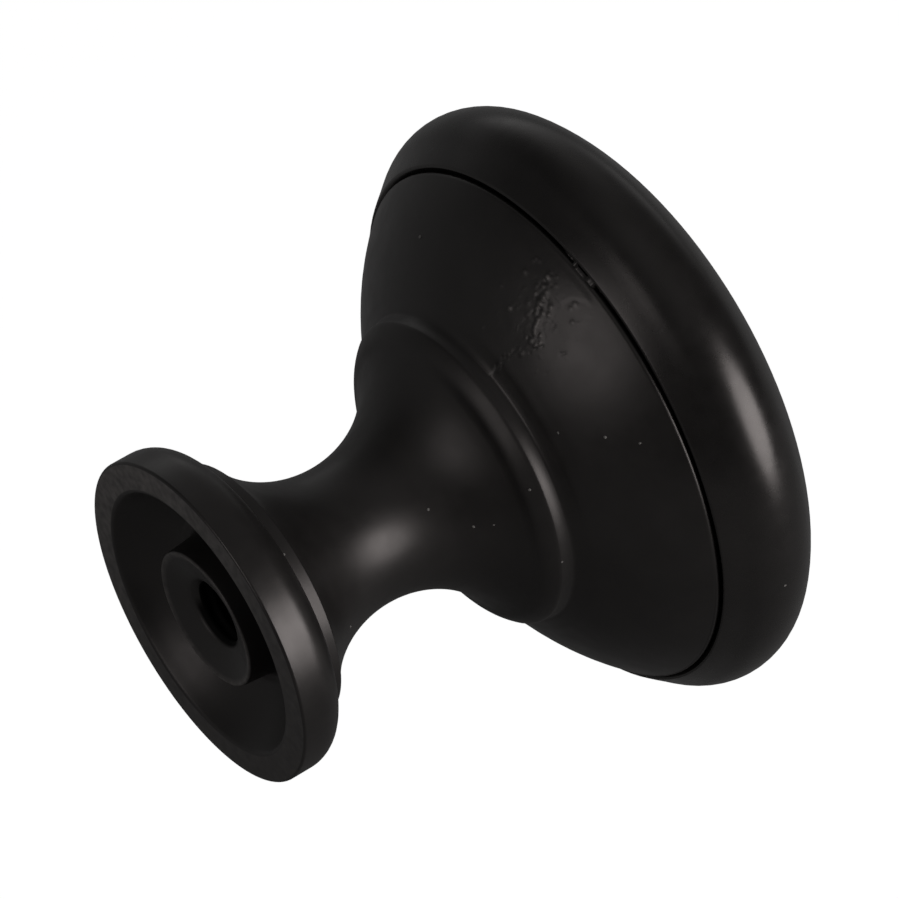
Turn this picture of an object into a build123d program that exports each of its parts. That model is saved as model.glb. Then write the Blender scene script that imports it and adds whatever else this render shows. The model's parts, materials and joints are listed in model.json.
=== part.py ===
# Turned cabinet knob in two pieces: a cast base (foot, stem and back of the head) and a drawn cap
# rolled over its edge. Millimetres. The knob is fixed to an upright front: Z is up, the seating face
# of the foot lies in the plane Y = 0 and the head stands out toward -Y. Sections are drawn with the
# radius on X and the distance forward of the seating face on -Y, and turned about Y.
import math
import os

from build123d import *

# Foot and its dished back
foot_r = 8.8
foot_thick = 2.75
foot_edge = 0.14
shoulder_round = 1.5
ring_width = 1.62
ring_round = 0.3
dish_depth = 2.4
dish_floor_width = 0.7
dish_bulge = 0.23
dish_round = 0.6
boss_r = 3.7
boss_draft = 0.2
boss_set_back = 0.39
boss_round = 0.12
boss_root_round = 0.3
boss_face_slope = 18.85

# Tapped hole for an M4 screw
mouth_r = 1.95
lead_in = 0.3
tap_r = 1.65
tap_length = 11.3
drill_half_angle = 59.0

# Narrow straight land between the foot and the stem
land_run = 0.788
land_round = 0.08

# Hollow of the stem, one arc about the neck
neck_r = 3.82
stem_arc_r = 6.64
hollow_back_angle = 58.0
hollow_front_angle = 63.8

# Collar under the head: a bead, the shallow cove in front of it and the crease where the back begins
collar_run = 0.713
collar_rise = 0.912
collar_bulge = 0.13
cove_run = 0.72
cove_rise = 0.08
cove_hollow = 0.038
crease_round = 0.25

# Back of the head: two arcs that meet without a break and swell into the seam
back_run = 1.922
back_rise = 3.082
back_angle = 52.55
flank_run = 2.535
edge_round = 0.25

# Cap, drawn from sheet: dome, brow, rim and the hem rolled back over the flange of the base
cap_wall = 0.8
head_r = 16.0
rim_arc_r = 2.68
rim_to_angle = 44.15
brow_arc_r = 6.65
dome_rise = 5.98
hem_angle = 38.25
hem_length = 1.62
hem_edge_round = 0.1
seam_gap = 0.19
seam_proud = 0.13

# Flange under the hem and the core of the base
flange_clearance = 0.13
flange_land = 0.93
flange_edge = 0.3
flange_wall = 2.4
core_straight = 1.9
core_floor_wall = 1.817
core_floor_inset = 0.582
core_round = 1.0


def at(radius, forward):
    return (radius, -forward)


def on_arc(centre_r, centre_at, arc_r, angle):
    return at(centre_r + arc_r * math.cos(angle), centre_at + arc_r * math.sin(angle))


def bulged(start, end, bulge):
    run = math.dist(start, end)
    across = ((start[1] - end[1]) / run, (end[0] - start[0]) / run)
    return (
        (start[0] + end[0]) / 2 + across[0] * bulge,
        (start[1] + end[1]) / 2 + across[1] * bulge,
    )


# Places along the base, from the seating face forward
ring_r = foot_r - ring_width
boss_foot_r = boss_r + boss_draft
dish_floor_r = boss_foot_r + dish_floor_width
mouth_at = boss_set_back + (boss_r - mouth_r) * math.tan(math.radians(boss_face_slope))
tap_from = mouth_at + lead_in
tap_to = tap_from + tap_length
hole_end = tap_to + tap_r / math.tan(math.radians(drill_half_angle))

hollow_back = math.radians(hollow_back_angle)
hollow_front = math.radians(hollow_front_angle)
stem_centre_r = neck_r + stem_arc_r
neck_at = foot_thick + land_run + stem_arc_r * math.sin(hollow_back)
hollow_start = on_arc(stem_centre_r, neck_at, -stem_arc_r, hollow_back)
land_start = at(hollow_start[0], foot_thick)
shoulder = min(shoulder_round, foot_r - hollow_start[0] - foot_edge)
hollow_end = on_arc(stem_centre_r, neck_at, -stem_arc_r, -hollow_front)

collar_r = hollow_end[0] + collar_rise
collar_at = -hollow_end[1] + collar_run
crease_r = collar_r + cove_rise
crease_at = collar_at + cove_run
back = math.radians(back_angle)
back_end_r = crease_r + back_rise
back_end_at = crease_at + back_run
edge_at = back_end_at + flank_run

# Seam: the edge of the base lies a gap behind the cut edge of the hem, and a little below its skin
hem = math.radians(hem_angle)
hem_back = seam_gap + hem_length
rim_centre_r = head_r - rim_arc_r
edge_r = rim_centre_r + (rim_arc_r - seam_proud) * math.cos(hem) - hem_back * math.sin(hem)
rim_at = edge_at + hem_back * math.cos(hem) + (rim_arc_r - seam_proud) * math.sin(hem)
seam_depth = cap_wall - seam_proud


def along_hem(skin, back):
    return at(
        rim_centre_r + skin * math.cos(hem) - back * math.sin(hem),
        rim_at - skin * math.sin(hem) - back * math.cos(hem),
    )


inner_skin = rim_arc_r - cap_wall
outer_hem_end = along_hem(rim_arc_r, hem_length)
inner_hem_end = along_hem(inner_skin, hem_length)
seam_root = along_hem(inner_skin, hem_back)

# Flange and core
flange_r = rim_centre_r + inner_skin * math.cos(hem) - flange_clearance
flange_from = -inner_hem_end[1] + (flange_r - inner_hem_end[0]) / math.tan(hem)
flange_front = flange_from + flange_land
core_r = flange_r - flange_wall
core_turn = flange_front - core_straight
core_floor = crease_at + core_floor_wall
core_floor_r = crease_r - core_floor_inset

# Dome of the cap: one sphere that meets the brow without a break
brow = math.radians(rim_to_angle)
brow_centre_r = rim_centre_r - (brow_arc_r - rim_arc_r) * math.cos(brow)
brow_centre_at = rim_at - (brow_arc_r - rim_arc_r) * math.sin(brow)
dome_top = rim_at + dome_rise
brow_depth = dome_top - brow_centre_at
dome_arc_r = (brow_depth**2 + brow_centre_r**2 - brow_arc_r**2) / (2 * (brow_depth - brow_arc_r))
dome_centre_at = dome_top - dome_arc_r
dome_joint = math.atan2(brow_centre_at - dome_centre_at, brow_centre_r)
brow_middle = (brow + dome_joint) / 2
dome_middle = (dome_joint + math.pi / 2) / 2

# Base: foot, land, stem, collar, back of the head, flange, core, tapped hole, boss, dish
with BuildPart() as base:
    with BuildSketch(Plane.XY) as base_section:
        with BuildLine() as base_line:
            Line(at(ring_r, 0), at(foot_r, 0))
            Line(at(foot_r, 0), at(foot_r, foot_thick))
            Line(at(foot_r, foot_thick), land_start)
            Line(land_start, hollow_start)
            ThreePointArc(hollow_start, at(neck_r, neck_at), hollow_end)
            collar = at(collar_r, collar_at)
            crease = at(crease_r, crease_at)
            ThreePointArc(hollow_end, bulged(hollow_end, collar, collar_bulge), collar)
            ThreePointArc(collar, bulged(collar, crease, -cove_hollow), crease)
            back_end = at(back_end_r, back_end_at)
            edge = at(edge_r, edge_at)
            TangentArc(back_end, crease, tangent=(-math.sin(back), math.cos(back)))
            TangentArc(back_end, edge, tangent=(math.sin(back), -math.cos(back)))
            Line(edge, seam_root)
            Line(seam_root, at(flange_r, flange_from))
            Line(at(flange_r, flange_from), at(flange_r, flange_front))
            Line(at(flange_r, flange_front), at(core_r, flange_front))
            Line(at(core_r, flange_front), at(core_r, core_turn))
            Line(at(core_r, core_turn), at(core_floor_r, core_floor))
            Line(at(core_floor_r, core_floor), at(0, core_floor))
            Line(at(0, core_floor), at(0, hole_end))
            Line(at(0, hole_end), at(tap_r, tap_to))
            Line(at(tap_r, tap_to), at(tap_r, tap_from))
            Line(at(tap_r, tap_from), at(mouth_r, mouth_at))
            Line(at(mouth_r, mouth_at), at(boss_r, boss_set_back))
            Line(at(boss_r, boss_set_back), at(boss_foot_r, dish_depth))
            Line(at(boss_foot_r, dish_depth), at(dish_floor_r, dish_depth))
            dish_floor = at(dish_floor_r, dish_depth)
            dish_edge = at(ring_r, 0)
            ThreePointArc(dish_floor, bulged(dish_floor, dish_edge, -dish_bulge), dish_edge)
        make_face()
        rounds = [
            (at(foot_r, 0), foot_edge),
            (at(foot_r, foot_thick), shoulder),
            (hollow_start, land_round),
            (at(ring_r, 0), ring_round),
            (at(dish_floor_r, dish_depth), dish_round),
            (at(boss_foot_r, dish_depth), boss_root_round),
            (at(boss_r, boss_set_back), boss_round),
            (crease, crease_round),
            (edge, edge_round),
            (at(core_r, core_turn), core_round),
            (at(core_floor_r, core_floor), core_round),
        ]
        for corner, radius in rounds:
            fillet(base_section.vertices().sort_by_distance(corner)[0], radius=radius)
        flange_corner = base_section.vertices().sort_by_distance(at(flange_r, flange_front))[0]
        chamfer(flange_corner, length=flange_edge)
    revolve(axis=Axis.Y)

# Cap: the same five runs outside and inside, one sheet thickness apart
with BuildPart() as cap:
    with BuildSketch(Plane.XY) as cap_section:
        with BuildLine() as cap_line:
            for skin in (0, cap_wall):
                rim_start = on_arc(rim_centre_r, rim_at, rim_arc_r - skin, -hem)
                rim_end = on_arc(rim_centre_r, rim_at, rim_arc_r - skin, brow)
                brow_mid = on_arc(brow_centre_r, brow_centre_at, brow_arc_r - skin, brow_middle)
                brow_end = on_arc(brow_centre_r, brow_centre_at, brow_arc_r - skin, dome_joint)
                dome_mid = on_arc(0, dome_centre_at, dome_arc_r - skin, dome_middle)
                Line(along_hem(rim_arc_r - skin, hem_length), rim_start)
                ThreePointArc(rim_start, at(head_r - skin, rim_at), rim_end)
                ThreePointArc(rim_end, brow_mid, brow_end)
                ThreePointArc(brow_end, dome_mid, at(0, dome_top - skin))
            Line(outer_hem_end, inner_hem_end)
            Line(at(0, dome_top), at(0, dome_top - cap_wall))
        make_face()
        hem_corner = cap_section.vertices().sort_by_distance(outer_hem_end)[0]
        fillet(hem_corner, radius=hem_edge_round)
    revolve(axis=Axis.Y)

base.part.label = "base"
cap.part.label = "cap"

os.makedirs("parts", exist_ok=True)
export_step(base.part, "parts/base.step")
export_step(cap.part, "parts/cap.step")
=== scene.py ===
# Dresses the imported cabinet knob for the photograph's view: the turned skins of base and cap at full
# smoothness, the screw thread, the casting flaw on the back of the head, the seam's fill, dust, coat, light
# and camera. Metres, in the frame of the part: Z up, the seating face at Y = 0, the head toward -Y.
import json
import math
import random

import bpy
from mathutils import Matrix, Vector


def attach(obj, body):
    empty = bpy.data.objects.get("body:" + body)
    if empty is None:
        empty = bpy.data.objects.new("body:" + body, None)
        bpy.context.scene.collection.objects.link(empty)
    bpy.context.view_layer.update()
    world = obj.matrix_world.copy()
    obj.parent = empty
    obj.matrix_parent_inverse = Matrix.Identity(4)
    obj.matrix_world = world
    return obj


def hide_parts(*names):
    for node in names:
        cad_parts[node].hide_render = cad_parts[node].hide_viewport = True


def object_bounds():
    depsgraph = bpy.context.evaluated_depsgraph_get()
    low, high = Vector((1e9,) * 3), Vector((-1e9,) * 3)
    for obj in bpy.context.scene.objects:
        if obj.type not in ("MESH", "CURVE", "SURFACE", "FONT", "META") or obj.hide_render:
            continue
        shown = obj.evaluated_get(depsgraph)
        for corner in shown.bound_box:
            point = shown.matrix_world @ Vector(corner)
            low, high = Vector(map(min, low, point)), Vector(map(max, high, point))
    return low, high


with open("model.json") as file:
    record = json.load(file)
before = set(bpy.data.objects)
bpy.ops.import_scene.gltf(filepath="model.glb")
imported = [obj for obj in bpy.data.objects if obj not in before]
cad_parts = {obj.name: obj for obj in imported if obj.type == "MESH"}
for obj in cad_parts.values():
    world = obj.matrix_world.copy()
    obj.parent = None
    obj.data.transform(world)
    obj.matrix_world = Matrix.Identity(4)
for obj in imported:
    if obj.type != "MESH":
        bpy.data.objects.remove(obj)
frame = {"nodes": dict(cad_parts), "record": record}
cad_low, cad_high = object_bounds()

MM = 0.001
SEED = 7147
SAME_PLACE = 1e-6
SAME_LEVEL = 1e-7
PLACE_DIGITS = 8


def ease(value, low, high):
    share = min(max((value - low) / (high - low), 0.0), 1.0)
    return share * share * (3 - 2 * share)


def bell(away, reach):
    return math.exp(-((away / reach) ** 2))


def sector(degrees, low, high, fade):
    """1 between two angles and 0 outside them, with a change that starts and ends a fade away from each."""
    return ease(degrees, low - fade, low + fade) * (1 - ease(degrees, high - fade, high + fade))


# Skins: the length of a facet along the section and its turn round the axis, and how sharp edges are eased
SKIN_STEP = 0.30 * MM
FLAW_STEP = 0.06 * MM
HIDDEN_STEP = 1.0 * MM
HIDDEN_FROM = 1.0 * MM
TURN_STEP = math.radians(3.2)
CORNER_TURN = math.radians(15)
ARRIS = 0.04 * MM
ARRIS_MOST = 0.4
ARRIS_CLEAR = 1.5


def section(node, start_of):
    """The node's half section as (radius, forward) pairs in order, read from its mesh at angle 0. It starts
    at the one of its two ends that start_of, max or min, picks by its forward distance."""
    mesh = frame["nodes"][node].data
    places = {}
    for vertex in mesh.vertices:
        if abs(vertex.co.z) < SAME_PLACE and vertex.co.x > -SAME_PLACE:
            radius, forward = max(vertex.co.x, 0.0), -vertex.co.y
            places[vertex.index] = (round(radius, PLACE_DIGITS), round(forward, PLACE_DIGITS))
    beside = {}
    for edge in mesh.edges:
        ends = [places.get(index) for index in edge.vertices]
        if None not in ends and ends[0] != ends[1]:
            beside.setdefault(ends[0], set()).add(ends[1])
            beside.setdefault(ends[1], set()).add(ends[0])
    run = [start_of((place for place in beside if len(beside[place]) == 1), key=lambda place: place[1])]
    while True:
        onward = [place for place in beside[run[-1]] if len(run) < 2 or place != run[-2]]
        if not onward:
            break
        run.append(onward[0])
    return [Vector(place) for place in run]


def heading(start, end):
    return math.atan2(end.y - start.y, end.x - start.x)


def turned(before, after):
    return (after - before + math.pi) % (2 * math.pi) - math.pi


def curve(start, end, pull_start, pull_end, s):
    """The point at a share of the way on the curve that leaves start and reaches end along the two pulls."""
    return (
        start * (2 * s**3 - 3 * s**2 + 1)
        + pull_start * (s**3 - 2 * s**2 + s)
        + end * (3 * s**2 - 2 * s**3)
        + pull_end * (s**3 - s**2)
    )


def directions(headings, lengths, turns, corner):
    """The heading of the true curve at each point of a section, None at its corners."""
    along = [None] * len(corner)
    for i in range(1, len(headings)):
        if corner[i]:
            continue
        if lengths[i] <= lengths[i - 1] and not corner[i + 1]:
            along[i] = headings[i] - turns[i + 1] / 2
        elif not corner[i - 1]:
            along[i] = headings[i - 1] + turns[i - 1] / 2
        else:
            along[i] = headings[i - 1] + turns[i] / 2
    return along


def smooth_rows(points, step_at):
    """Rows along a section, each with the index of its run: arcs restored, straight runs kept, arrises
    eased."""
    last = len(points) - 1
    headings = [heading(points[i], points[i + 1]) for i in range(last)]
    lengths = [(points[i + 1] - points[i]).length for i in range(last)]
    turns = [0.0] + [turned(headings[i - 1], headings[i]) for i in range(1, last)] + [0.0]
    corner = [i in (0, last) or abs(turns[i]) > CORNER_TURN for i in range(last + 1)]
    along = directions(headings, lengths, turns, corner)
    rows = []
    for i in range(last):
        start, end = points[i], points[i + 1]
        leave, arrive = along[i], along[i + 1]
        if leave is None and arrive is None:
            leave = arrive = headings[i]
        elif leave is None:
            leave = headings[i] - turned(headings[i], arrive)
        elif arrive is None:
            arrive = headings[i] - turned(headings[i], leave)
        pull_start = Vector((math.cos(leave), math.sin(leave))) * lengths[i]
        pull_end = Vector((math.cos(arrive), math.sin(arrive))) * lengths[i]
        parts = max(1, math.ceil(lengths[i] / step_at((start + end) / 2, i)))
        trim = min(ARRIS / lengths[i], ARRIS_MOST)
        shares = [k / parts for k in range(parts)]
        if corner[i] and i > 0:
            shares = [trim] + [share for share in shares if share > trim * ARRIS_CLEAR]
        if corner[i + 1] and i + 1 < last:
            shares = [share for share in shares if share < 1 - trim * ARRIS_CLEAR] + [1 - trim]
        rows += [(curve(start, end, pull_start, pull_end, share), i) for share in shares]
    rows.append((points[last].copy(), last))
    return rows


def angles_round(fine=None, fine_step=None):
    """Angles of the columns round the axis, finer between two angles."""
    if fine is None:
        count = round(2 * math.pi / TURN_STEP)
        return [2 * math.pi * k / count for k in range(count)]
    low, high = (math.radians(angle) for angle in fine)
    dense = math.ceil((high - low) / fine_step)
    wide = math.ceil((2 * math.pi - high + low) / TURN_STEP)
    inside = [low + (high - low) * k / dense for k in range(dense)]
    outside = [high + (2 * math.pi - high + low) * k / wide for k in range(wide)]
    return inside + outside


def around(place, angle):
    return (place.x * math.cos(angle), -place.y, place.x * math.sin(angle))


def ring_faces(first, rings, count):
    """Quads between neighbouring rings of points, which follow each other from the first index on."""
    faces = []
    for i in range(rings - 1):
        low = first + i * count
        for k in range(count):
            n = (k + 1) % count
            faces.append((low + k, low + n, low + count + n, low + count + k))
    return faces


def end_faces(tip_before, first, tip_after, last, count):
    """Triangles that close a row of rings with a point before its first ring and one after its last."""
    faces = []
    for k in range(count):
        n = (k + 1) % count
        faces.append((tip_before, first + n, first + k))
        faces.append((tip_after, last + k, last + n))
    return faces


def add_mesh(name, points, faces):
    mesh = bpy.data.meshes.new(name)
    mesh.from_pydata(points, [], faces)
    mesh.validate()
    mesh.shade_smooth()
    piece = bpy.data.objects.new(name, mesh)
    bpy.context.scene.collection.objects.link(piece)
    return piece


def carry(piece, label, values):
    piece.data.attributes.new(label, "FLOAT", "POINT").data.foreach_set("value", values)


def turn_skin(name, rows, angles, relief, bore_shaded=None):
    """A closed turned skin from a section that ends on the axis; a flat closes one that starts off it. Relief
    moves points outward and says how far each is lightened to the rubbed tone, for wear and for painted
    sheen; the last argument says which lie in the hole, where shade is painted. The mesh carries both."""
    places = [place for place, _ in rows]
    runs = [run for _, run in rows]
    if places[0].x > SAME_LEVEL:
        places.insert(0, Vector((0.0, places[0].y)))
        runs.insert(0, runs[0])
    area = sum(a.x * b.y - b.x * a.y for a, b in zip(places, places[1:] + places[:1]))
    side = 1 if area > 0 else -1
    count = len(angles)
    points, wear_and_sheen = [], []
    for i in range(1, len(places) - 1):
        along = places[i + 1] - places[i - 1]
        outward = (Vector((along.y, -along.x)) * side).normalized()
        for angle in angles:
            shift, rubbed_and_sheen = relief(places[i], outward, angle, runs[i])
            points.append(around(places[i] + outward * shift, angle))
            wear_and_sheen.append(rubbed_and_sheen)
    ends = len(points)
    points += [around(places[0], 0), around(places[-1], 0)]
    wear_and_sheen += [0.0, 0.0]
    rings = len(places) - 2
    faces = ring_faces(0, rings, count) + end_faces(ends, 0, ends + 1, (rings - 1) * count, count)
    if side < 0:
        faces = [face[::-1] for face in faces]
    piece = add_mesh(name, points, faces)
    carry(piece, "wear_and_sheen", wear_and_sheen)
    if bore_shaded is not None:
        bore_shade = [bore_shaded(run, angle) for run in runs[1:-1] for angle in angles]
        carry(piece, "bore_shade", bore_shade + [0.0, 0.0])
    return piece


# Places along the base's section, which passes from the flange over the seam's root and the rounded edge to
# the outer skin, the seating ring, the dish, the boss and the tapped hole
base_section = section("base", max)
radii = [place.x for place in base_section]
edge_at = max(i for i, radius in enumerate(radii) if radius > max(radii) - SAME_LEVEL)
while radii[edge_at + 1] < radii[edge_at]:
    edge_at += 1
while radii[edge_at + 1] > radii[edge_at]:
    edge_at += 1
edge_place = base_section[edge_at]
seat_at = next(i for i in range(edge_at, len(base_section)) if base_section[i].y < SAME_LEVEL)
screw_hole = next(mount for mount in frame["record"]["mounts"] if mount["name"] == "screw_hole")
tap_radius = screw_hole["dims"]["r_mm"] * MM
tap_at = next(i for i in range(seat_at, len(radii)) if abs(radii[i] - tap_radius) < SAME_PLACE)
tap_mouth = base_section[tap_at].y
dish_at = max(range(seat_at, tap_at), key=lambda i: base_section[i].y)
boss_edge = min(base_section[dish_at:tap_at], key=lambda place: place.y)

# The gap of the seam, from the edge of the base to the end of the hem
cap_section = section("cap", min)
hem_end = min((place for place in cap_section if place.x > edge_place.x), key=lambda place: place.y)
gap_run = (hem_end - edge_place).normalized()


# Where the back of the head starts, and the flaw on it in degrees round the axis: finer columns, the sector
# that can hold relief, and how the relief fades in at its start and out toward the seam
BACK_FROM = 16.5 * MM
FLAW_ANGLES = (87.0, 115.0)
FLAW_SECTOR = (86.2, 131)
FLAW_START = (86.2, 88)
FLAW_STOP = (0.2 * MM, 0.5 * MM)

# Casting flaw on the back of the head. Places are (mm forward of the seat, degrees round the axis);
# grains and pits add their reach and height or depth in mm
FLAW_GRAINS = [
    (19.97, 97.5, 0.11, 0.080), (19.46, 96.8, 0.10, 0.035), (19.61, 98.0, 0.10, 0.050),
    (19.60, 99.6, 0.11, 0.055), (19.39, 99.8, 0.11, 0.085), (19.15, 100.2, 0.12, 0.095),
    (18.96, 100.4, 0.09, 0.065), (18.84, 100.9, 0.09, 0.065), (19.36, 102.7, 0.11, 0.085),
    (19.01, 102.3, 0.10, 0.080), (19.13, 103.6, 0.11, 0.085), (18.78, 102.5, 0.11, 0.085),
    (18.67, 102.9, 0.11, 0.085), (18.56, 103.2, 0.11, 0.085), (18.46, 103.5, 0.10, 0.075),
    (18.39, 104.2, 0.10, 0.090), (18.48, 105.6, 0.10, 0.090), (18.13, 104.8, 0.12, 0.065),
    (18.17, 106.3, 0.11, 0.065), (18.33, 106.8, 0.11, 0.090), (17.65, 105.0, 0.11, 0.050),
    (18.30, 94.6, 0.11, 0.060), (19.50, 92.4, 0.12, 0.045), (19.99, 92.3, 0.09, 0.030),
    (20.12, 92.7, 0.09, 0.035), (20.16, 93.5, 0.09, 0.025), (18.61, 89.1, 0.09, 0.030),
    (17.31, 90.6, 0.09, 0.030), (18.86, 97.7, 0.12, 0.030), (18.61, 99.5, 0.12, 0.030),
    (20.09, 106.1, 0.13, 0.060), (19.87, 106.1, 0.10, 0.040), (19.61, 108.6, 0.11, 0.060),
    (19.74, 109.6, 0.08, 0.030),
]
FLAW_PITS = [
    (19.04, 100.9, 0.08, 0.070), (19.45, 100.9, 0.08, 0.040), (19.25, 98.4, 0.13, 0.050),
    (18.81, 100.2, 0.08, 0.050), (18.46, 104.7, 0.07, 0.060), (18.32, 107.6, 0.08, 0.050),
    (18.11, 106.9, 0.08, 0.040), (18.12, 103.5, 0.08, 0.050), (19.04, 105.0, 0.11, 0.035),
    (19.04, 106.1, 0.11, 0.035), (18.66, 112.2, 0.10, 0.045), (18.76, 112.6, 0.09, 0.040),
    (19.35, 111.6, 0.15, 0.022), (19.79, 97.9, 0.12, 0.050), (17.88, 106.6, 0.08, 0.020),
]
FLAW_SPINE = [(19.97, 97.5), (19.39, 99.8), (18.78, 102.3), (18.20, 105.6)]
FLAW_RIM = [(18.77, 89.6), (18.27, 92.7), (18.06, 95.4), (17.87, 98.9), (17.87, 102.0)]
FLAW_LEDGE = [(19.62, 104.0), (19.82, 104.0), (20.12, 104.7), (20.43, 107.0), (20.50, 109.3)]
FLAW_CRACK = [(17.61, 102.9), (17.26, 102.2), (17.00, 101.7), (16.75, 101.6), (16.56, 101.9)]

# Heights and reaches of the flaw in mm: a swell along the spine, the crack with a lip on one side and a
# lighter line along it, how much of the given height and reach the grains have, which of them get painted
# glints on their crests, and after how many reaches one ends
SWELL_RISE = 0.03
SWELL_REACH = 0.8
CRACK_DEPTH = 0.013
CRACK_REACH = 0.10
CRACK_WEAR_AND_SHEEN = 0.05
CRACK_WEAR_AND_SHEEN_REACH = 0.13
LIP_RISE = 0.010
LIP_AT = 0.16
LIP_REACH = 0.11
LIP_FADES = (0.6, 0.9)
GRAIN_RISE = 0.45
GRAIN_REACH = 1.15
GRAIN_GLINT = 0.42
GRAIN_GLINT_SPAN = (0.008, 0.070)
LUMP_REACHES = 3

# Unrolled back, in mm: along is the forward distance stretched to the slope, across the arc at the flaw
ALONG = 1.55
FLAW_RADIUS = 12.4

# Fine grit over and round the flaw: places as above, the rest in mm
GRIT_REACH = (0.06, 0.10)
FIELD_GRIT = 60
FIELD_GRIT_FORWARD = (17.6, 20.3)
FIELD_GRIT_DEGREES = (91, 114)
FIELD_GRIT_REACH = (0.06, 0.11)
FIELD_GRIT_HEIGHTS = (0.008, 0.012, -0.010)


def unrolled(forward, degrees):
    return Vector((forward * ALONG, math.radians(degrees) * FLAW_RADIUS))


def from_line(spot, line):
    """Distance from a run of points, how far along it that is as a share, and on which side."""
    best = (math.inf, 0.0, 1.0)
    for k in range(len(line) - 1):
        run = line[k + 1] - line[k]
        share = min(max((spot - line[k]).dot(run) / run.length_squared, 0.0), 1.0)
        away = spot - line[k] - run * share
        if away.length < best[0]:
            side = run.x * away.y - run.y * away.x
            best = (away.length, (k + share) / (len(line) - 1), math.copysign(1.0, side))
    return best


chance = random.Random(SEED)
spine = [unrolled(*place) for place in FLAW_SPINE]
rim_line = [unrolled(*place) for place in FLAW_RIM]
ledge_line = [unrolled(*place) for place in FLAW_LEDGE]
crack_line = [unrolled(*place) for place in FLAW_CRACK]


def grit_along(line, until, count, scatter, heights):
    """Grit scattered about a line of points, as far along it as until, counted in points."""
    grit = []
    for _ in range(count):
        k = chance.uniform(0, until)
        spot = line[int(k)].lerp(line[int(k) + 1], k % 1)
        spot = spot + Vector((chance.gauss(0, scatter[0]), chance.gauss(0, scatter[1])))
        grit.append((spot, chance.uniform(*GRIT_REACH), chance.choice(heights)))
    return grit


def grit_over_field():
    grit = []
    for _ in range(FIELD_GRIT):
        spot = unrolled(chance.uniform(*FIELD_GRIT_FORWARD), chance.uniform(*FIELD_GRIT_DEGREES))
        grit.append((spot, chance.uniform(*FIELD_GRIT_REACH), chance.choice(FIELD_GRIT_HEIGHTS)))
    return grit


# Lumps as (spot, reach, height), pits with negative height, then the fine grit
lumps = [(unrolled(at, degrees), reach * GRAIN_REACH, tall) for at, degrees, reach, tall in FLAW_GRAINS]
lumps += [(unrolled(at, degrees), reach, -deep) for at, degrees, reach, deep in FLAW_PITS]
lumps += grit_along(
    spine,
    until=len(spine) - 1.001,
    count=70,
    scatter=(0.30, 0.34),
    heights=(0.022, 0.014, -0.020, -0.012),
)
lumps += grit_over_field()
lumps += grit_along(
    crack_line,
    until=len(crack_line) - 1.8,
    count=26,
    scatter=(0.10, 0.10),
    heights=(0.020, -0.020),
)


def terrace(spot, line, rise, grows, fades, edge, back):
    """Height of a step up across a line, which falls away behind it and fades at both of its ends."""
    away, share, side = from_line(spot, line)
    ends = ease(share, *grows) * (1 - ease(share, *fades))
    return rise * ease(-side * away, *edge) * (1 - ease(away, *back)) * ends


def flaw(place, angle):
    """Height of the flaw over the back in metres, and how far it is lightened: painted glints on the grains'
    crests, and painted sheen with some rubbing along the crack.
    """
    spot = unrolled(place.y / MM, math.degrees(angle))
    height = SWELL_RISE * bell(from_line(spot, spine)[0], SWELL_REACH)
    height += terrace(
        spot,
        rim_line,
        rise=0.012,
        grows=(0.0, 0.3),
        fades=(0.6, 0.95),
        edge=(-0.3, 0.3),
        back=(0.5, 1.8),
    )
    height += terrace(
        spot,
        ledge_line,
        rise=0.020,
        grows=(0.0, 0.15),
        fades=(0.75, 1.0),
        edge=(-0.12, 0.14),
        back=(0.3, 2.0),
    )
    away, share, side = from_line(spot, crack_line)
    height -= CRACK_DEPTH * bell(away, CRACK_REACH)
    height += LIP_RISE * bell(-side * away - LIP_AT, LIP_REACH) * (1 - ease(share, *LIP_FADES))
    # Painted sheen with some rubbing along the crack
    rubbed_and_sheen = CRACK_WEAR_AND_SHEEN * bell(away, CRACK_WEAR_AND_SHEEN_REACH)
    for centre, reach, tall in lumps:
        offset = (spot - centre).length_squared
        if offset < (LUMP_REACHES * reach) ** 2:
            lump = tall * math.exp(-offset / (reach * reach))
            height += GRAIN_RISE * lump
            # Painted glints: the crests of the higher grains are lightened to the rubbed tone
            rubbed_and_sheen = max(rubbed_and_sheen, GRAIN_GLINT * ease(lump, *GRAIN_GLINT_SPAN))
    return height * MM, rubbed_and_sheen


# Collar: coat lies in the crease and at the end of the stem's hollow, places as (radius, forward), and the
# bead between them is eased. Beside the crack the crease is filled less
HOLLOW_END = Vector((7.528, 15.127)) * MM
HOLLOW_FILL = 0.03 * MM
HOLLOW_REACH = 0.25 * MM
BEAD_FROM = 15.13 * MM
BEAD_TO = 15.84 * MM
BEAD_EASE = 0.04 * MM
CREASE = Vector((8.52, 16.56)) * MM
CREASE_FILL = 0.062 * MM
CREASE_REACH = 0.2 * MM
CREASE_SECTOR = (60, 200, 8)
CREASE_OPENS = (100.5, 104.0)
CREASE_LEAST = 0.3
COLLAR_TO = CREASE.y + 0.5 * MM


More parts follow.
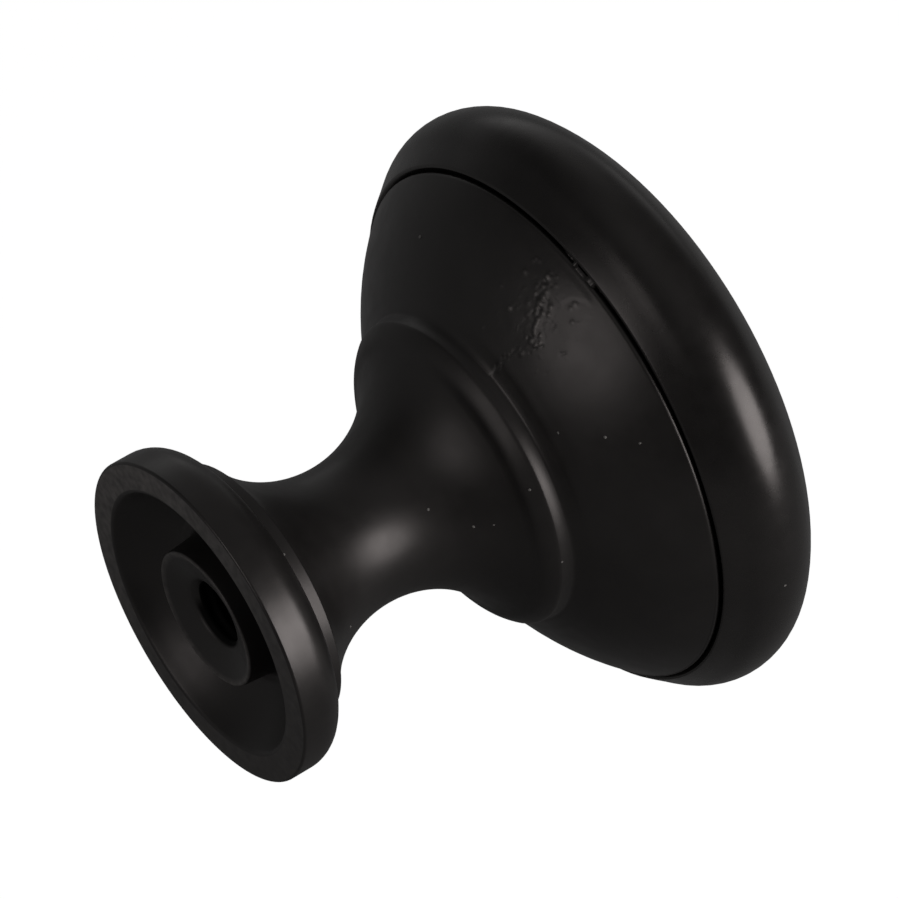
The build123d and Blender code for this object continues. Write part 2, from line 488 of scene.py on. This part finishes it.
def outside_relief(place, angle):
    """Relief of the base's outer skin: the fills and the bead of the collar, and the flaw on the back."""
    degrees = math.degrees(angle) % 360
    height, rubbed_and_sheen = 0.0, 0.0
    if BACK_FROM < place.y and FLAW_SECTOR[0] < degrees < FLAW_SECTOR[1]:
        height, rubbed_and_sheen = flaw(place, angle)
    if place.y >= COLLAR_TO:
        return height * ease(edge_place.y - place.y, *FLAW_STOP) * ease(degrees, *FLAW_START), rubbed_and_sheen
    along_bead = min(max((place.y - BEAD_FROM) / (BEAD_TO - BEAD_FROM), 0.0), 1.0)
    filled = max(CREASE_LEAST, 1 - ease(degrees, *CREASE_OPENS)) * sector(degrees, *CREASE_SECTOR)
    fill = CREASE_FILL * bell((place - CREASE).length, CREASE_REACH) * filled
    fill += HOLLOW_FILL * bell((place - HOLLOW_END).length, HOLLOW_REACH)
    return fill + height - BEAD_EASE * math.sin(math.pi * along_bead), rubbed_and_sheen


# Screw thread, and painted shade in the tapped hole and on the lower side of its lead-in
PITCH = 0.7 * MM
THREAD_DEPTH = 0.33 * MM
THREAD_STEEP = 1.15
THREAD_STEP = PITCH / 5
THREAD_TURNS = 8
BORE_SHADE_SECTOR = (205, 335, 15)
thread_end = tap_mouth + THREAD_TURNS * PITCH


def thread_relief(place, angle):
    turn = (place.y / PITCH - angle / (2 * math.pi)) % 1.0
    cut = 1 - abs(2 * turn - 1)
    fade = ease(place.y - tap_mouth, 0.0, PITCH) * ease(thread_end - place.y, 0.0, PITCH)
    return -THREAD_DEPTH * min(1.0, cut * THREAD_STEEP) * fade


def on_tap(place, run):
    return run >= tap_at and abs(place.x - tap_radius) < SAME_PLACE


# Seam: the hem stands nearer to the base on the upper side and the base nearer to the hem on the lower side
HEM_REACH = 0.075 * MM
HEM_NEAR = 0.9 * MM
HEM_SECTOR = (18, 165, 12)
EDGE_REACH = 0.080 * MM
EDGE_NEAR = 0.75 * MM
EDGE_RUNS = 3
EDGE_SECTOR = (175, 345, 12)

# Wear and painted light, as the share of the coat lightened to the rubbed tone: the seating ring, with
# painted light added most on the side it falls from, and the boss's edge, whose light line is partly a
# painted highlight
RING_WEAR_AND_SHEEN = 0.45
RING_WEAR_AND_SHEEN_LEAST = 0.25
RING_LIGHT_SIDE = math.radians(50)
BOSS_WEAR_AND_SHEEN = 0.30
BOSS_WEAR_FULL = 0.03 * MM
BOSS_WEAR_REACH = 0.15 * MM


def base_relief(place, outward, angle, run):
    """How far the base's skin moves outward at a place, and how far it is lightened there, for rubbed coat
    and for painted sheen.
    """
    by_edge = run < edge_at and (place - edge_place).length < EDGE_NEAR
    if by_edge or abs(run - edge_at) < EDGE_RUNS:
        degrees = math.degrees(angle) % 360
        return EDGE_REACH * max(outward.dot(gap_run), 0.0) ** 2 * sector(degrees, *EDGE_SECTOR), 0.0
    if edge_at <= run < seat_at:
        return outside_relief(place, angle)
    if seat_at <= run < dish_at and place.y < SAME_LEVEL:
        # Painted light: the ring is lighter toward the side light falls from, over an even rubbed share
        most = (0.5 + 0.5 * math.cos(angle - RING_LIGHT_SIDE)) ** 2
        return 0.0, RING_WEAR_AND_SHEEN * (RING_WEAR_AND_SHEEN_LEAST + (1 - RING_WEAR_AND_SHEEN_LEAST) * most)
    if run >= dish_at and (place - boss_edge).length < BOSS_WEAR_REACH:
        # Rubbed tone along the boss's edge, partly a painted highlight
        return 0.0, BOSS_WEAR_AND_SHEEN * (1 - ease((place - boss_edge).length, BOSS_WEAR_FULL, BOSS_WEAR_REACH))
    if on_tap(place, run) and place.y < thread_end:
        return thread_relief(place, angle), 0.0
    return 0.0, 0.0


def in_bore_shade(run, angle):
    """Where shade is painted, dark and dull: the tapped part of the hole and the lower side of its lead-in.
    """
    if run >= tap_at:
        return 1.0
    return sector(math.degrees(angle) % 360, *BORE_SHADE_SECTOR) if run == tap_at - 1 else 0.0


def cap_relief(place, outward, angle, run):
    """As for the base: only the end of the hem moves, toward the base."""
    if (place - hem_end).length < HEM_NEAR:
        degrees = math.degrees(angle) % 360
        return HEM_REACH * max(-outward.dot(gap_run), 0.0) ** 2 * sector(degrees, *HEM_SECTOR), 0.0
    return 0.0, 0.0


def base_step(place, run):
    if on_tap(place, run):
        return THREAD_STEP
    if edge_at <= run < seat_at and place.y > BACK_FROM:
        return FLAW_STEP
    if run < edge_at and (place - edge_place).length > HIDDEN_FROM:
        return HIDDEN_STEP
    return SKIN_STEP


base_rows = smooth_rows(base_section, base_step)
base_angles = angles_round(FLAW_ANGLES, FLAW_STEP / edge_place.x)
base_skin = turn_skin("base_skin", base_rows, base_angles, base_relief, in_bore_shade)
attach(base_skin, "root")
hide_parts("base")

cap_rows = smooth_rows(cap_section, lambda place, run: SKIN_STEP)
cap_skin = turn_skin("cap_skin", cap_rows, angles_round(), cap_relief)
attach(cap_skin, "root")
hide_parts("cap")

# Seam fill: coat that ran into the gap between the base's edge and the cap's hem beside the flaw, with two
# bridges over it as (degrees, width in degrees). Between them it clings to the base and leaves a narrow gap
# at the hem
SEAM_FILL = (95.0, 107.5)
SEAM_BRIDGES = [(99.9, 0.5), (104.9, 1.2)]
BRIDGE_FADES = (0.6, 1.5)
CLING_FADE = 0.4

# Section of the fill, a squared tube: (plain, more at a bridge, more where it clings to the base) in mm
FILL_OUT = (0.75, -0.66)
FILL_SIDES = 20
FILL_SQUARE = 0.45
FILL_STEP = 0.25
FILL_TAPER = 8
FILL_LEAST = 0.02
FILL_RISE = (-0.36, 0.22, 0.19)
FILL_REACH = (0.13, 0.09, 0.02)
FILL_SHIFT = (0.0, 0.04, -0.11)
FILL_ROUGH = 0.02
FILL_ROUGH_LESS = 0.016

gap_middle = (edge_place + hem_end - gap_run * HEM_REACH) / 2
gap_out = Vector(FILL_OUT).normalized()
gap_over = Vector((-gap_out.y, gap_out.x))


def layered(parts, bridged, clings):
    return parts[0] + parts[1] * bridged + parts[2] * clings


def squared(value):
    return math.copysign(abs(value) ** FILL_SQUARE, value)


fill_points = []
fill_steps = round((SEAM_FILL[1] - SEAM_FILL[0]) / FILL_STEP)
full, none = BRIDGE_FADES
for k in range(fill_steps + 1):
    degrees = SEAM_FILL[0] + (SEAM_FILL[1] - SEAM_FILL[0]) * k / fill_steps
    taper = ease(k, 0, FILL_TAPER) * ease(fill_steps - k, 0, FILL_TAPER)
    bridged = sum(1 - ease(abs(degrees - at), full * wide, none * wide) for at, wide in SEAM_BRIDGES)
    bridged = min(bridged, 1.0)
    clings = sector(degrees, SEAM_BRIDGES[0][0], SEAM_BRIDGES[1][0], CLING_FADE) * (1 - bridged)
    rough = FILL_ROUGH - FILL_ROUGH_LESS * max(bridged, clings)
    rise = (layered(FILL_RISE, bridged, clings) + rough * chance.uniform(-1, 1)) * MM
    reach = max(FILL_LEAST, layered(FILL_REACH, bridged, clings) * taper) * MM
    centre = gap_middle + gap_out * rise + gap_over * (layered(FILL_SHIFT, bridged, clings) * MM)
    for j in range(FILL_SIDES):
        turn = 2 * math.pi * j / FILL_SIDES
        place = centre + gap_over * (reach * squared(math.cos(turn)))
        place = place + gap_out * (reach * squared(math.sin(turn)))
        fill_points.append(around(place, math.radians(degrees)))
fill_faces = ring_faces(0, fill_steps + 1, FILL_SIDES)
fill_faces.append(tuple(range(FILL_SIDES - 1, -1, -1)))
fill_faces.append(tuple(fill_steps * FILL_SIDES + j for j in range(FILL_SIDES)))
seam_fill = add_mesh("seam_fill", fill_points, fill_faces)
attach(seam_fill, "root")


def on_skin(forward):
    """The place on the outer skin at a distance forward of the seat, and the outward direction there."""
    rows = [place for place, run in base_rows if edge_at <= run < seat_at]
    if forward > edge_place.y:
        outer = [place for place, run in cap_rows if run > len(cap_section) / 2]
        rows = [place for place in outer if place.y < cap_rows[-1][0].y]
    best = min(range(1, len(rows) - 1), key=lambda i: abs(rows[i].y - forward))
    run = rows[best + 1] - rows[best - 1]
    out = Vector((run.y, -run.x)).normalized()
    return rows[best], out if out.x > 0 else -out


# Dust, as (forward mm, degrees, size mm): flat ragged grains
DUST = [
    (18.62, 55.4, 0.24), (18.52, 134.3, 0.17), (19.51, 138.3, 0.15), (15.34, 141.7, 0.18),
    (11.66, 134.9, 0.15), (13.18, 154.5, 0.14), (14.02, 155.5, 0.12), (3.07, 117.7, 0.17),
    (5.73, 177.1, 0.15), (2.05, 69.6, 0.12), (23.62, 176.7, 0.16), (17.26, 128.5, 0.11),
    (15.87, 172.3, 0.12),
]
DUST_RINGS = 5
DUST_SIDES = 9
DUST_RISE = 0.2
DUST_STRETCH = (0.7, 1.3)
DUST_RAGGED = (0.8, 1.2)

dust_points, dust_faces = [], []
for forward, degrees, size in DUST:
    place, out = on_skin(forward * MM)
    angle = math.radians(degrees)
    up = Vector((out.x * math.cos(angle), -out.y, out.x * math.sin(angle)))
    one = up.orthogonal().normalized()
    two = up.cross(one)
    centre = Vector(around(place, angle))
    first = len(dust_points)
    tall = DUST_RISE * size * MM
    stretch = chance.uniform(*DUST_STRETCH)
    dust_points.append(centre - up * tall)
    for i in range(1, DUST_RINGS):
        tilt = math.pi * i / DUST_RINGS
        for j in range(DUST_SIDES):
            turn = 2 * math.pi * j / DUST_SIDES
            reach = size / 2 * MM * math.sin(tilt) * chance.uniform(*DUST_RAGGED)
            flat = one * (reach * math.cos(turn) * stretch) + two * (reach * math.sin(turn))
            dust_points.append(centre + flat - up * (tall * math.cos(tilt)))
    dust_points.append(centre + up * tall)
    last_ring = len(dust_points) - 1 - DUST_SIDES
    dust_faces += ring_faces(first + 1, DUST_RINGS - 1, DUST_SIDES)
    dust_faces += end_faces(first, first + 1, len(dust_points) - 1, last_ring, DUST_SIDES)
dust = add_mesh("dust", dust_points, dust_faces)
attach(dust, "root")


def fill_socket(tree, socket, value):
    """A value goes on the socket itself, and another node's socket is linked to it."""
    if isinstance(value, bpy.types.NodeSocket):
        tree.links.new(value, socket)
    else:
        socket.default_value = value


def math_node(tree, operation, *values):
    node = tree.nodes.new("ShaderNodeMath")
    node.operation = operation
    for socket, value in zip(node.inputs, values):
        fill_socket(tree, socket, value)
    return node.outputs[0]


def vector_node(tree, operation, *values):
    node = tree.nodes.new("ShaderNodeVectorMath")
    node.operation = operation
    for socket, value in zip(node.inputs, values):
        fill_socket(tree, socket, value)
    return next(socket for socket in node.outputs if socket.enabled)


def blend(tree, kind, share, one, two):
    node = tree.nodes.new("ShaderNodeMix")
    node.data_type = kind
    for label, value in (("Factor", share), ("A", one), ("B", two)):
        fill_socket(tree, node.inputs[label], value)
    return node.outputs["Result"]


def spread(tree, value, span, result):
    """A value's span spread over another, and held at its ends."""
    node = tree.nodes.new("ShaderNodeMapRange")
    labels = ("From Min", "From Max", "To Min", "To Max")
    for label, limit in zip(labels, (*span, *result)):
        node.inputs[label].default_value = limit
    tree.links.new(value, node.inputs["Value"])
    return node.outputs["Result"]


def noise(tree, place, scale, detail):
    node = tree.nodes.new("ShaderNodeTexNoise")
    node.inputs["Scale"].default_value = scale
    node.inputs["Detail"].default_value = detail
    tree.links.new(place, node.inputs["Vector"])
    return node.outputs["Fac"]


def carried(tree, label):
    node = tree.nodes.new("ShaderNodeAttribute")
    node.attribute_name = label
    return node.outputs["Fac"]


def bump(tree, height, distance):
    node = tree.nodes.new("ShaderNodeBump")
    node.inputs["Strength"].default_value = BUMP_STRENGTH
    node.inputs["Distance"].default_value = distance
    tree.links.new(height, node.inputs["Height"])
    return node


def new_material(name):
    material = bpy.data.materials.new(name)
    material.use_nodes = True
    return material


# Coat: colours, then grain as (scale in 1/mm, detail) with its range or height, the span of a noise's values
# that is used, and how the seed of a coat shifts its grain
COAT = (0.0095, 0.0088, 0.0085)
# The light rubbed tone stands for worn coat and also for painted sheen and glints
RUBBED_AND_SHEEN_TONE = (0.26, 0.24, 0.23)
GLOSS_TINT = (1.0, 0.94, 0.92, 1)
MOTTLE_GRAIN = (0.45, 4)
MOTTLE_TONES = (0.82, 1.18)
RUB_GRAIN = (2.2, 3)
RUB_PATCHES = (0.25, 1.0)
GLOSS_GRAIN = (0.9, 5)
GLOSS_PATCHES = (-0.03, 0.03)
PEEL_GRAIN = (1.8, 2)
PEEL_HEIGHT = 0.006 * MM
FINE_GRAIN = (11, 2)
FINE_HEIGHT = 0.0015 * MM
BUMP_STRENGTH = 0.5
GRAIN_SPAN = (0.3, 0.7)
GRAIN_SHIFT = (1, 1.7, 0.6)

# Roughness on the sheltered stem and on the handled outside, and the mm from the axis where it changes
BASE_ROUGHNESS = (0.42, 0.345)
CAP_ROUGHNESS = (0.28, 0.28)
HANDLED_FROM = (8.45, 8.75)
BASE_SEED = 3.0
CAP_SEED = 31.0

# Painted shade inside the tapped hole, a darker, rougher coat that reflects less; and dust
BORE_SHADE = (0.004, 0.004, 0.004)
BORE_ROUGHNESS = 0.75
BORE_SPECULAR = 0.08
COAT_SPECULAR = 0.5
LINT_DARK = (0.07, 0.067, 0.064, 1)
LINT_LIGHT = (0.24, 0.23, 0.22, 1)
LINT_SCALE = 9000
LINT_ROUGHNESS = 0.9


def painted(name, roughness, seed):
    """A satin black coat: slow mottling in tone and gloss, orange peel and fine grain, lightened where the
    mesh says so, for rubbed coat and for painted sheen and glints. Roughness goes from that of the sheltered
    stem to that of the handled outside."""
    material = new_material(name)
    tree = material.node_tree
    shader = tree.nodes["Principled BSDF"]
    shader.inputs["Specular Tint"].default_value = GLOSS_TINT
    place = tree.nodes.new("ShaderNodeTexCoord").outputs["Object"]
    mapping = tree.nodes.new("ShaderNodeMapping")
    mapping.inputs["Scale"].default_value = (1 / MM, 1 / MM, 1 / MM)
    mapping.inputs["Location"].default_value = [seed * share for share in GRAIN_SHIFT]
    tree.links.new(place, mapping.inputs["Vector"])
    in_mm = mapping.outputs["Vector"]

    mottle = spread(tree, noise(tree, in_mm, *MOTTLE_GRAIN), GRAIN_SPAN, (0.0, 1.0))
    dark, light = ((*[level * share for level in COAT], 1) for share in MOTTLE_TONES)
    tone = blend(tree, "RGBA", mottle, dark, light)
    patches = spread(tree, noise(tree, in_mm, *RUB_GRAIN), GRAIN_SPAN, RUB_PATCHES)
    # Lightened share: rubbed coat together with painted sheen and glints
    rubbed_and_sheen = math_node(tree, "MULTIPLY", carried(tree, "wear_and_sheen"), patches)
    tree.links.new(blend(tree, "RGBA", rubbed_and_sheen, tone, (*RUBBED_AND_SHEEN_TONE, 1)), shader.inputs["Base Color"])

    across = vector_node(tree, "MULTIPLY", place, (1 / MM, 0, 1 / MM))
    handled = spread(tree, vector_node(tree, "LENGTH", across), HANDLED_FROM, roughness)
    uneven = spread(tree, noise(tree, in_mm, *GLOSS_GRAIN), GRAIN_SPAN, GLOSS_PATCHES)
    tree.links.new(math_node(tree, "ADD", handled, uneven), shader.inputs["Roughness"])

    peel = bump(tree, noise(tree, in_mm, *PEEL_GRAIN), PEEL_HEIGHT)
    fine = bump(tree, noise(tree, in_mm, *FINE_GRAIN), FINE_HEIGHT)
    tree.links.new(peel.outputs["Normal"], fine.inputs["Normal"])
    tree.links.new(fine.outputs["Normal"], shader.inputs["Normal"])
    return material


def add_bore_shade(material):
    """Blends painted shade into a coat where the mesh says so: the inside of the tapped hole gets a darker,
    rougher coat that reflects less.
    """
    tree = material.node_tree
    shader = tree.nodes["Principled BSDF"]
    bore_shaded = carried(tree, "bore_shade")
    for label, kind, value in (("Base Color", "RGBA", (*BORE_SHADE, 1)), ("Roughness", "FLOAT", BORE_ROUGHNESS)):
        coat = shader.inputs[label].links[0].from_socket
        tree.links.new(blend(tree, kind, bore_shaded, coat, value), shader.inputs[label])
    level = blend(tree, "FLOAT", bore_shaded, COAT_SPECULAR, BORE_SPECULAR)
    tree.links.new(level, shader.inputs["Specular IOR Level"])


def linted(name):
    """Pale dust of uneven tone."""
    material = new_material(name)
    tree = material.node_tree
    shader = tree.nodes["Principled BSDF"]
    shader.inputs["Roughness"].default_value = LINT_ROUGHNESS
    tone = tree.nodes.new("ShaderNodeTexNoise")
    tone.inputs["Scale"].default_value = LINT_SCALE
    ramp = tree.nodes.new("ShaderNodeValToRGB")
    ramp.color_ramp.elements[0].color = LINT_DARK
    ramp.color_ramp.elements[1].color = LINT_LIGHT
    tree.links.new(tone.outputs["Fac"], ramp.inputs["Fac"])
    tree.links.new(ramp.outputs["Color"], shader.inputs["Base Color"])
    return material


base_coat = painted("base_coat", BASE_ROUGHNESS, BASE_SEED)
# painted shade inside the tapped hole
add_bore_shade(base_coat)
base_skin.data.materials.append(base_coat)
seam_fill.data.materials.append(base_coat)
cap_skin.data.materials.append(painted("cap_coat", CAP_ROUGHNESS, CAP_SEED))
dust.data.materials.append(linted("dust_lint"))

# Camera: fitted to the photograph's outline and seam
VIEW_AZIMUTH = math.radians(232.738)
VIEW_ELEVATION = math.radians(49.084)
CAMERA_RIGHT = 12.217 * MM
CAMERA_UP = 8.450 * MM
CAMERA_BACK = 260.4 * MM
CLIP_START = 10 * MM
CLIP_END = 20.0
FOCAL_PIXELS = 5372.6
PHOTO_PIXELS = 899
SENSOR = 36.0

view_right = Vector((math.cos(VIEW_AZIMUTH), math.sin(VIEW_AZIMUTH), 0.0))
view_up = Vector(
    (
        -math.sin(VIEW_AZIMUTH) * math.sin(VIEW_ELEVATION),
        math.cos(VIEW_AZIMUTH) * math.sin(VIEW_ELEVATION),
        math.cos(VIEW_ELEVATION),
    )
)
view_back = view_right.cross(view_up)
view_away = Vector((-math.sin(VIEW_AZIMUTH), math.cos(VIEW_AZIMUTH), 0.0))
overhead = Vector((0.0, 0.0, 1.0))

camera_data = bpy.data.cameras.new("camera")
camera_data.sensor_fit = "HORIZONTAL"
camera_data.sensor_width = SENSOR
camera_data.lens = FOCAL_PIXELS / PHOTO_PIXELS * SENSOR
camera_data.clip_start = CLIP_START
camera_data.clip_end = CLIP_END
camera = bpy.data.objects.new("camera", camera_data)
bpy.context.scene.collection.objects.link(camera)
camera.location = view_right * CAMERA_RIGHT + view_up * CAMERA_UP + view_back * CAMERA_BACK
camera.rotation_euler = view_back.to_track_quat("Z", "Y").to_euler()
bpy.context.scene.camera = camera


# Surround: white where it is seen directly or through glass, and a dim share of that in the coat's
# reflections, as in the photograph, least straight below; the floor lies some way under the knob
# and keeps its shadow
FLOOR_DROP = 50 * MM
FLOOR_SIZE = 8.0
FLOOR_MIRRORED = 0.11
PAPER = (0.16, 0.16, 0.16, 1)
PAPER_LIFT = 0.95
ROOM = 0.025
ROOM_MIRRORED = 0.02

# Soft bright parts of the room, as (direction, focus, level)
ROOM_LIGHTS = [
    (overhead, 12, 0.20),
    (-view_right, 16, 0.15),
    (view_away - view_right, 60, 0.18),
    (view_away - view_right * 0.2, 40, 0.62),
    (view_away + view_right * 0.5, 60, 0.50),
    (view_away + overhead * 0.7, 30, 0.21),
]


def background_share(tree, mirrored):
    """Strength of the white surround: full to the camera and through glass, a share of it in reflections."""
    path = tree.nodes.new("ShaderNodeLightPath").outputs
    direct = math_node(tree, "MAXIMUM", path["Is Camera Ray"], path["Is Transmission Ray"])
    glossy = math_node(tree, "MULTIPLY", path["Is Glossy Ray"], mirrored)
    return math_node(tree, "MAXIMUM", direct, glossy)


def papered(name):
    """Floor paper: pale under the lamps, with the white of the surround added to it."""
    material = new_material(name)
    tree = material.node_tree
    tree.nodes.clear()
    paper = tree.nodes.new("ShaderNodeBsdfDiffuse")
    paper.inputs["Color"].default_value = PAPER
    spot = tree.nodes.new("ShaderNodeNewGeometry").outputs["Position"]
    steep = vector_node(tree, "DOT_PRODUCT", vector_node(tree, "NORMALIZE", spot), overhead)
    below = math_node(tree, "MULTIPLY", steep, steep)
    mirrored = math_node(tree, "MULTIPLY_ADD", below, -FLOOR_MIRRORED, FLOOR_MIRRORED)
    white = tree.nodes.new("ShaderNodeEmission")
    strength = math_node(tree, "MULTIPLY", background_share(tree, mirrored), PAPER_LIFT)
    tree.links.new(strength, white.inputs["Strength"])
    added = tree.nodes.new("ShaderNodeAddShader")
    tree.links.new(paper.outputs[0], added.inputs[0])
    tree.links.new(white.outputs[0], added.inputs[1])
    output = tree.nodes.new("ShaderNodeOutputMaterial")
    tree.links.new(added.outputs[0], output.inputs["Surface"])
    return material


bpy.ops.mesh.primitive_plane_add(size=FLOOR_SIZE, location=(0, 0, -FLOOR_DROP))
floor = bpy.context.object
floor.name = "floor"
floor.data.materials.append(papered("floor_paper"))

# Room: a dim level with the soft bright parts added, white where it is seen as background
world = bpy.data.worlds.new("studio")
bpy.context.scene.world = world
world.use_nodes = True
tree = world.node_tree
way = tree.nodes.new("ShaderNodeTexCoord").outputs["Generated"]
room = ROOM
for direction, focus, level in ROOM_LIGHTS:
    facing = vector_node(tree, "DOT_PRODUCT", way, direction.normalized())
    halved = math_node(tree, "MULTIPLY_ADD", facing, 0.5, 0.5)
    room = math_node(tree, "MULTIPLY_ADD", math_node(tree, "POWER", halved, focus), level, room)
background = tree.nodes["Background"]
background.inputs["Color"].default_value = (1, 1, 1, 1)
strength = blend(tree, "FLOAT", background_share(tree, ROOM_MIRRORED), room, 1.0)
tree.links.new(strength, background.inputs["Strength"])


# Lamps, as (name, degrees to the right of and above the camera's axis, width and height in degrees, watts)
LAMPS = [
    ("softbox_right", (57.0, -8.5), (40, 40), 1.80),
    ("softbox_left", (-46.0, -8.0), (32, 36), 0.325),
]
LAMP_DISTANCE = 0.5
LAMP_TINT = (1.0, 0.97, 0.965)


def softbox(name, place, size, power):
    """A soft lamp at angles to the right of and above the camera's axis, turned to the middle of the knob."""
    right, up = place
    off = math.radians(math.hypot(right, up))
    turn = math.atan2(up, right)
    sideways = view_right * math.cos(turn) + view_up * math.sin(turn)
    outward = view_back * math.cos(off) + sideways * math.sin(off)
    data = bpy.data.lights.new(name, "AREA")
    data.shape = "ELLIPSE"
    data.size, data.size_y = (2 * LAMP_DISTANCE * math.tan(math.radians(side / 2)) for side in size)
    data.energy = power
    data.color = LAMP_TINT
    lamp = bpy.data.objects.new(name, data)
    bpy.context.scene.collection.objects.link(lamp)
    lamp.location = (Vector(cad_low) + Vector(cad_high)) / 2 + outward * LAMP_DISTANCE
    lamp.rotation_euler = outward.to_track_quat("Z", "Y").to_euler()


for lamp in LAMPS:
    softbox(*lamp)

bpy.context.scene.view_settings.view_transform = "Standard"
